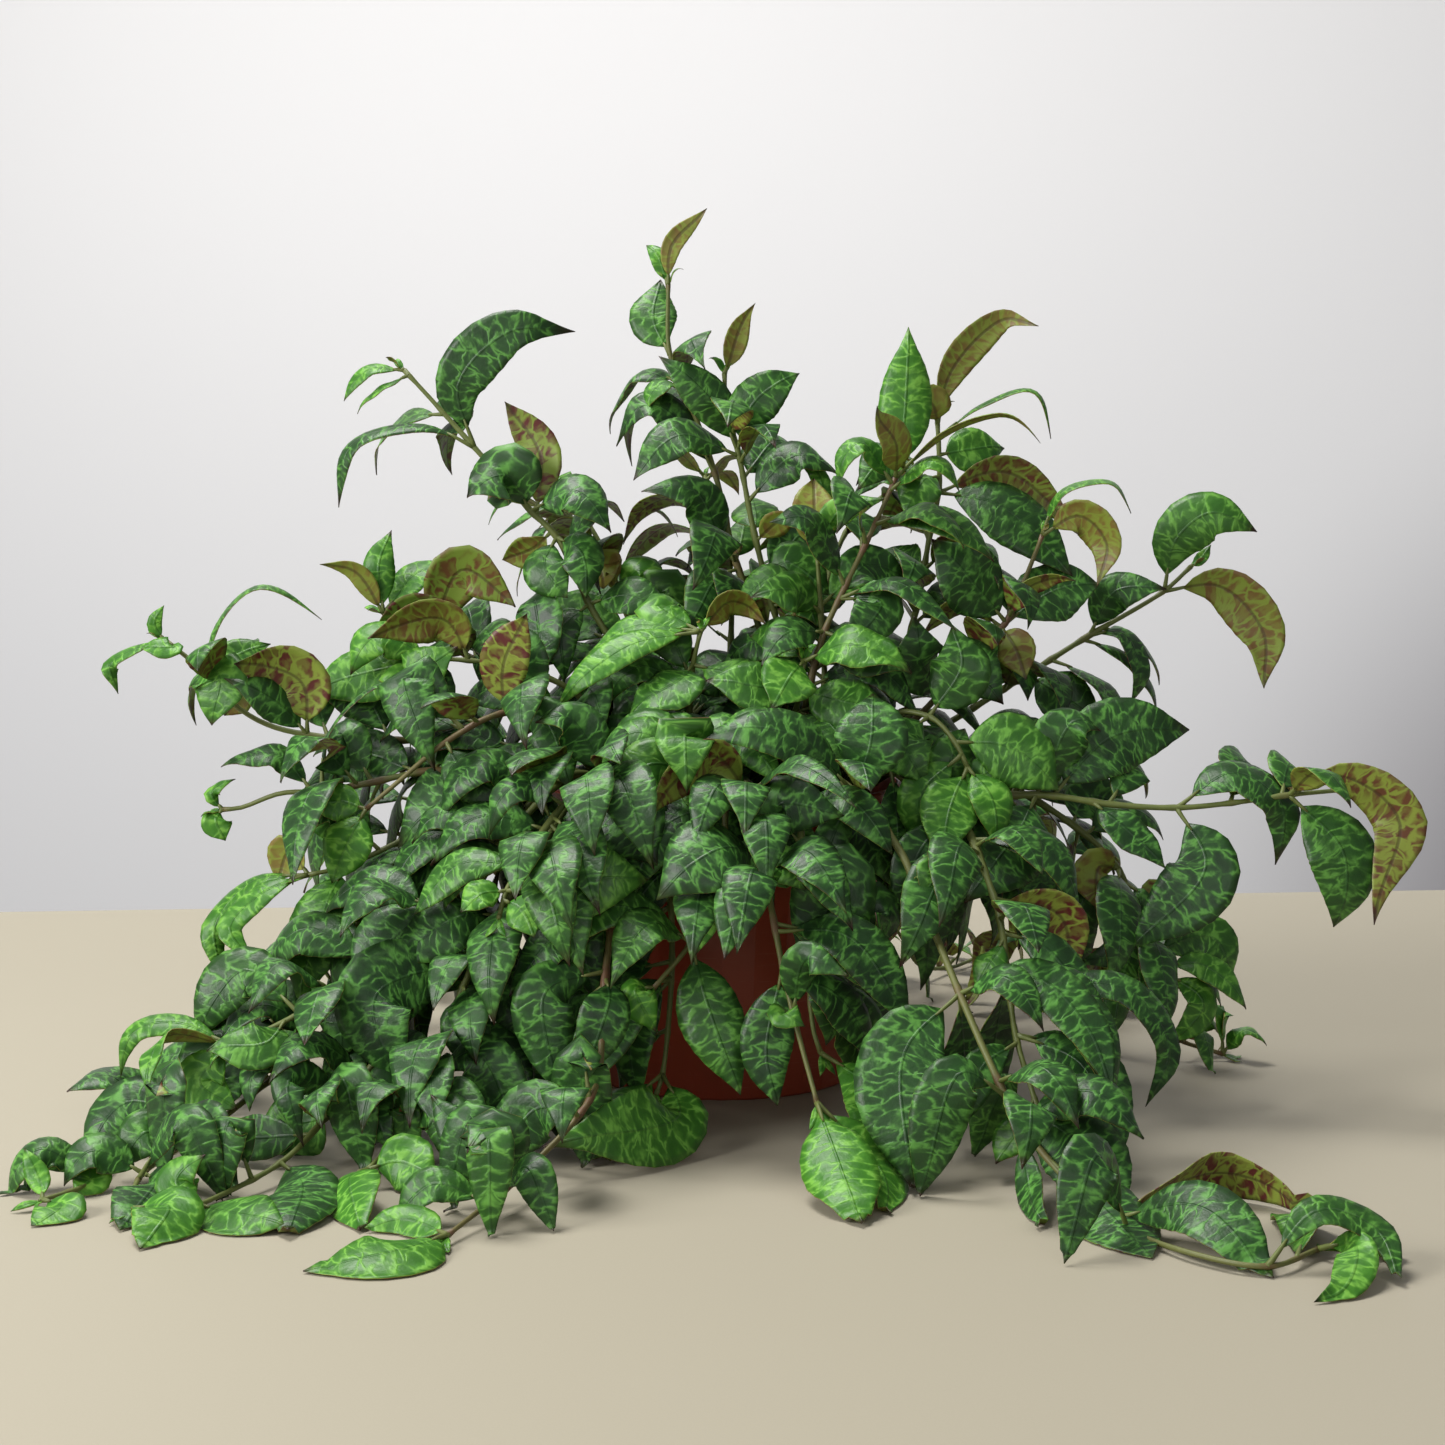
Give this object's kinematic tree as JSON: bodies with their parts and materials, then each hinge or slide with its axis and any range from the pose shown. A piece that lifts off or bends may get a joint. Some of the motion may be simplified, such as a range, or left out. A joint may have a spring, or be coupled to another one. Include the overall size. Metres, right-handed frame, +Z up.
{
  "type": "potted lipstick plant",
  "caption": "Lipstick plant with marbled pointed leaves on standing, arching and trailing stems, in a plain tapered nursery pot filled with soil.",
  "frame": {"origin": "centre of the pot's foot, on the surface that it stands on", "axes": "+Z up along the pot's axis, -Y towards the plant's front, +X to its right as seen from the front"},
  "size_m": [0.6851, 0.7207, 0.4643],
  "materials": {
    "brick_red_plastic": "smooth moulded plastic with a low sheen",
    "potting_soil": null,
    "marbled_green_leaf": null
  },
  "bodies": {
    "root": {"pot": "brick_red_plastic", "soil": "potting_soil", "stem_a": "marbled_green_leaf", "stem_b": "marbled_green_leaf", "stem_c": "marbled_green_leaf", "stem_c2": "marbled_green_leaf", "stem_d": "marbled_green_leaf", "stem_e": "marbled_green_leaf", "stem_e2": "marbled_green_leaf", "stem_e3": "marbled_green_leaf", "stem_f": "marbled_green_leaf", "stem_far1": "marbled_green_leaf", "stem_far2": "marbled_green_leaf", "stem_far3": "marbled_green_leaf", "stem_far4": "marbled_green_leaf", "stem_far5": "marbled_green_leaf", "stem_far6": "marbled_green_leaf", "stem_far7": "marbled_green_leaf", "stem_g": "marbled_green_leaf", "stem_h": "marbled_green_leaf", "stem_high1": "marbled_green_leaf", "stem_high2": "marbled_green_leaf", "stem_high3": "marbled_green_leaf", "stem_i": "marbled_green_leaf", "stem_i2": "marbled_green_leaf", "stem_j": "marbled_green_leaf", "stem_j2": "marbled_green_leaf", "stem_k": "marbled_green_leaf", "stem_k2": "marbled_green_leaf", "stem_l": "marbled_green_leaf", "stem_lm": "marbled_green_leaf", "stem_lm2": "marbled_green_leaf", "stem_m": "marbled_green_leaf", "stem_n": "marbled_green_leaf", "stem_n2": "marbled_green_leaf", "stem_o": "marbled_green_leaf", "stem_p": "marbled_green_leaf", "stem_p2": "marbled_green_leaf", "stem_q": "marbled_green_leaf", "stem_r": "marbled_green_leaf", "stem_s": "marbled_green_leaf", "stem_w": "marbled_green_leaf", "stem_x": "marbled_green_leaf", "stem_y": "marbled_green_leaf", "stem_z": "marbled_green_leaf", "stem_z2": "marbled_green_leaf"}
  },
  "joints": []
}
